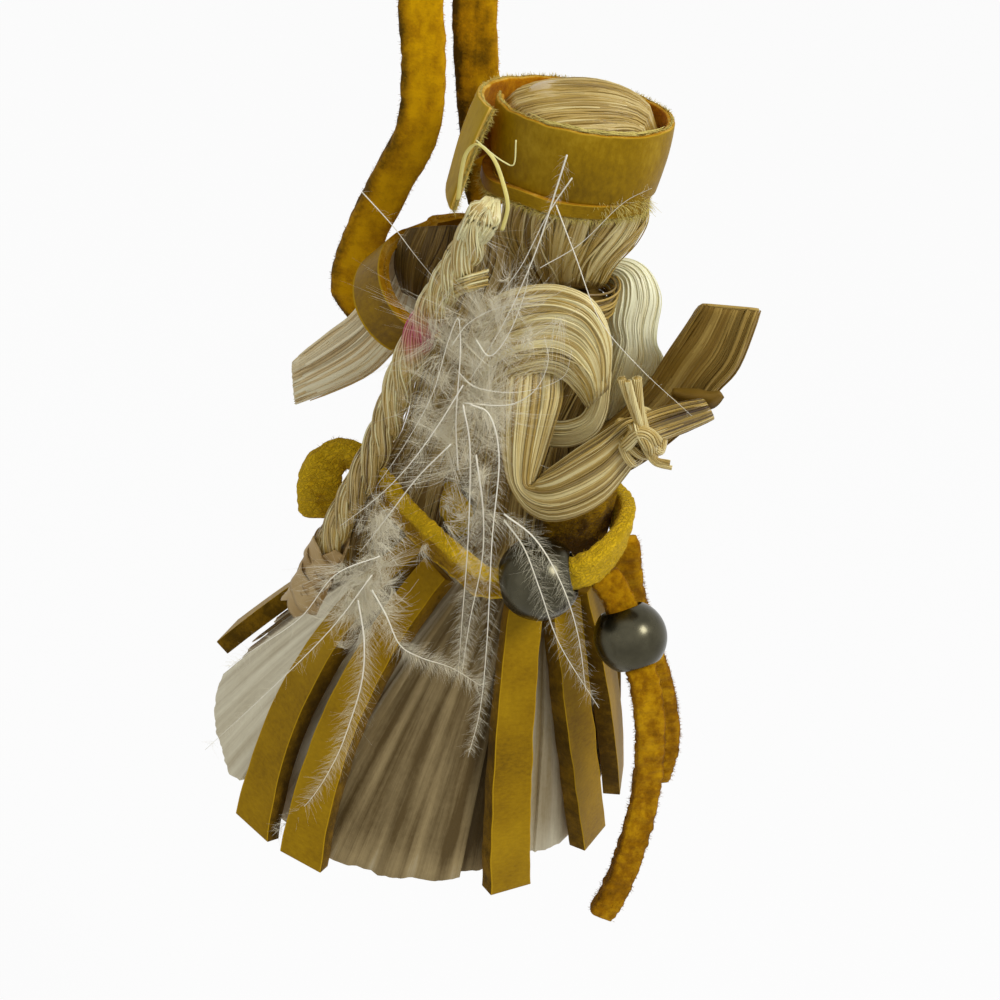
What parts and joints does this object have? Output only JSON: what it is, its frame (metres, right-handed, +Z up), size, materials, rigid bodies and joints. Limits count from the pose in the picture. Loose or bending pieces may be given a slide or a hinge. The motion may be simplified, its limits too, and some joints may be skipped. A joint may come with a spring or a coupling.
{
  "type": "corn husk doll",
  "caption": "Hanging doll of corn husk and straw fibre with a leather-strip skirt, headband, beads, braid, feathers and a suede lace loop to hang it by.",
  "frame": {"origin": "top of the suede lace loop that the doll hangs from", "axes": "+Z up, -Y towards the doll's front as pictured, +X to the viewer's right"},
  "size_m": [0.0526, 0.0485, 0.113],
  "materials": {
    "straw_fibre": "glossy plant fibre",
    "corn_husk": "dry husk, matt",
    "brown_husk": "dark dry husk, matt",
    "smooth_leather": "smooth dyed leather",
    "golden_suede": "napped suede",
    "gunmetal": "dark polished metal",
    "white_down": "feather down",
    "yellow_thread": "thin yellow strand"
  },
  "bodies": {
    "doll": {"back_bundle": "corn_husk", "belt_knot": "golden_suede", "belt_lace": "golden_suede", "braid_binding": "corn_husk", "far_arm": "brown_husk", "far_shoulder_curl": "straw_fibre", "feather_1": "white_down", "feather_2": "white_down", "feather_3": "white_down", "hanging_loop": "golden_suede", "head_bundle": "straw_fibre", "headband": "smooth_leather", "headband_lower_turn": "smooth_leather", "husk_braid": "straw_fibre", "husk_leaf_01": "corn_husk", "husk_leaf_02": "corn_husk", "husk_leaf_03": "corn_husk", "husk_leaf_04": "corn_husk", "husk_leaf_05": "corn_husk", "husk_leaf_06": "corn_husk", "husk_leaf_07": "corn_husk", "husk_leaf_08": "corn_husk", "husk_leaf_09": "corn_husk", "husk_leaf_10": "corn_husk", "inner_curl": "straw_fibre", "leather_sleeve": "smooth_leather", "near_arm": "straw_fibre", "near_shoulder_curl": "straw_fibre", "skirt_core": "corn_husk", "skirt_strip_01": "smooth_leather", "skirt_strip_02": "smooth_leather", "skirt_strip_03": "smooth_leather", "skirt_strip_04": "smooth_leather", "skirt_strip_05": "smooth_leather", "skirt_strip_06": "smooth_leather", "skirt_strip_07": "smooth_leather", "skirt_strip_08": "smooth_leather", "skirt_strip_09": "smooth_leather", "skirt_strip_10": "smooth_leather", "skirt_strip_11": "smooth_leather", "tail_lace_back": "golden_suede", "tail_lace_front": "golden_suede", "torso_bundle": "straw_fibre", "wrist_tie": "straw_fibre", "yellow_thread": "yellow_thread"},
    "belt_bead": {"belt_bead": "gunmetal"},
    "tail_bead": {"tail_bead": "gunmetal"}
  },
  "joints": [
    {"name": "belt_bead_spin", "type": "hinge", "parent": "doll", "child": "belt_bead", "pos_m": [0.0213, -0.022, -0.0769], "axis": [0.9022, 0.0315, 0.4301], "continuous": true},
    {"name": "tail_bead_slide", "type": "slide", "parent": "doll", "child": "tail_bead", "axis": [0.5241, -0.4867, -0.6989], "range_m": [-0.0005, 0.002]}
  ]
}
